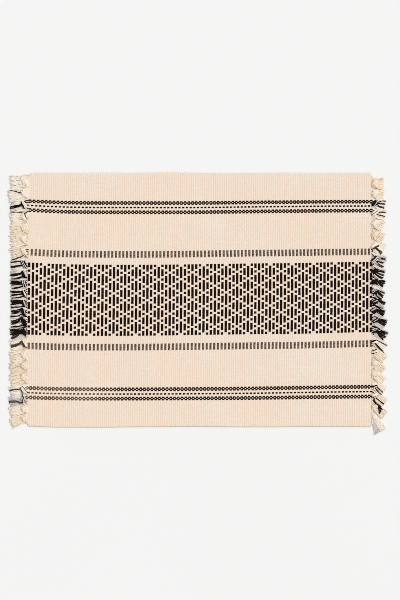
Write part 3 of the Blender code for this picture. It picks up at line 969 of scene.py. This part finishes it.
def buildFringe(sideName, creamYarn, darkYarn):
    side = -1 if sideName == "left" else 1
    rng = np.random.default_rng(fringe["seed"] + side)
    end = ends[sideName]
    endX = matLow[0] if side < 0 else matLow[0] + weave["length"]
    downs, leans, reaches = np.array(end["tassels"]).T
    reaches = end["length"] * reaches
    marks = np.concatenate([[-np.inf], (downs[1:] + downs[:-1]) / 2, [np.inf]])
    gaps = np.diff(downs)
    spacing = (np.append(gaps[:1], gaps) + np.append(gaps, gaps[-1:])) / 2
    laneX, laneY = threadPlace(0.0 if side < 0 else weave["length"], np.arange(weave["lanes"]))
    bundles = [Bundle(), Bundle()]  # cream, dark
    for k, (down, lean, reach) in enumerate(zip(downs, np.radians(leans), reaches)):
        knot = (endX + side * fringe["knotOff"], farLine - down)
        lanes = [lane for lane in range(weave["lanes"])
                 if marks[k] <= farLine - laneY[lane] < marks[k + 1]]
        middle = lanes[len(lanes) // 2]
        inBand = bandTop - fringe["greyFrom"] <= middle <= bandTop + 2 * bandUnits
        # cream in and beside the band is greyed, painted shade among the black yarns
        cream = (rng.uniform(*fringe["creamTones"]) + fringe["bandGreyShade"] * inBand
                 + end["greyShade"].get(k, 0))
        tones = (cream, fringe["fadedTone"] * (k in end["faded"]), fringe["brownTone"])
        tassel = Tassel(knot, side, lean, reach, spacing[k] * math.cos(lean), tones,
                        end["darkAt"].get(k, []))
        kinds = addYarns(tassel, lanes, laneX, laneY, bundles, rng)
        shares = end["darkWraps"] if inBand else ()
        if not inBand and np.mean(np.array(kinds) > 0) > fringe["stripeShare"]:
            shares = fringe["stripeWraps"]
        if k in end["darkKnots"]:
            shares = (end["darkKnots"][k],) * knotTurns["count"]
        addKnot(tassel, end["wrapSlant"], kinds, shares, bundles, rng)
        addLoose(tassel, kinds, laneX[lanes].mean(), spacing[k], bundles, rng)
        addStrays(tassel, [stray[1:] for stray in end["strays"] if stray[0] == k], bundles, rng)
    if end["crossing"]:
        stops = [(endX + side * out, farLine - down, high)
                 for out, down, high in end["crossing"]]
        route = smoothPath(stops, (4,) * (len(stops) - 1))
        twistedPair(bundles[1], route, *fringe["crossingYarn"], rng)
    sideWord = sideName.capitalize()
    return [bundles[0].make("tassels" + sideWord, creamYarn),
            bundles[1].make("darkTassels" + sideWord, darkYarn)]


# light, floor, camera
studio = {
    "floor": (0.905, 0.902, 0.898), "floorDarker": 0.985, "floorSize": 6, "world": 0.62,
    "sunTilt": 42, "sunTurn": 118, "sunSpread": 32, "sunPower": 1.68,
    "middle": (1.7, 2.8), "frameHeight": 770.1, "lens": 100, "sensor": 36,
}


def buildStudio():
    paint = Paint("paleFloor", {**plainLooks, "Roughness": 0.85})
    darker = tuple(studio["floorDarker"] * c for c in studio["floor"])
    shade = paint.noise((1.5, 1.5, 1.5), 2.0)
    paint.feed("Base Color", paint.ramp(shade, [(0.3, studio["floor"]), (0.7, darker)]))
    bpy.ops.mesh.primitive_plane_add(size=studio["floorSize"], location=(0, 0, 0))
    floor = bpy.context.object
    floor.name = "floor"
    floor.data.materials.append(paint.material)
    world = bpy.data.worlds.new("softRoom")
    world.use_nodes = True
    background = world.node_tree.nodes["Background"]
    background.inputs["Color"].default_value = (1, 1, 1, 1)
    background.inputs["Strength"].default_value = studio["world"]
    scene = bpy.context.scene
    scene.world = world
    tilt, turn = math.radians(studio["sunTilt"]), math.radians(studio["sunTurn"])
    bpy.ops.object.light_add(type="SUN", location=(0.6, 0.6, 1.5), rotation=(tilt, 0, turn))
    key = bpy.context.object
    key.name = "keyLight"
    key.data.angle = math.radians(studio["sunSpread"])
    key.data.energy = studio["sunPower"]
    x, y = studio["middle"]
    height = studio["frameHeight"] * studio["lens"] / studio["sensor"]
    bpy.ops.object.camera_add(location=(x * mm, y * mm, height * mm), rotation=(0, 0, 0))
    camera = bpy.context.object
    camera.name = "photoCamera"
    camera.data.lens = studio["lens"]
    camera.data.sensor_width = studio["sensor"]
    camera.data.clip_end = 20.0
    scene.camera = camera
    scene.view_settings.view_transform = "Standard"
    scene.cycles.filter_width = 0.8  # as crisp as the photo
    scene.cycles.denoising_prefilter = "NONE"


# everything together
buildStudio()
creamYarn, blackYarn = creamYarnPaint(), blackYarnPaint()
clothPiece = finishPiece(buildCloth(clothPaint()), "cloth", "mat")
darkPieces = [finishPiece(piece, "dark_yarn")
              for piece in buildFloats(blackYarn, mottledPaint())]
for piece in [clothPiece] + darkPieces:
    flatMap(piece)
tasselPieces = []
for sideName in ("left", "right"):
    for piece, slotName in zip(buildFringe(sideName, creamYarn, blackYarn),
                               ("fringe", "dark_yarn")):
        tasselPieces.append(finishPiece(piece, slotName, "fringe_" + sideName))
darkPieces + tasselPieces
everyPiece = [clothPiece] + darkPieces + tasselPieces
print("triangles:", {piece.name: len(piece.data.loops) - 2 * len(piece.data.polygons)
                     for piece in everyPiece})
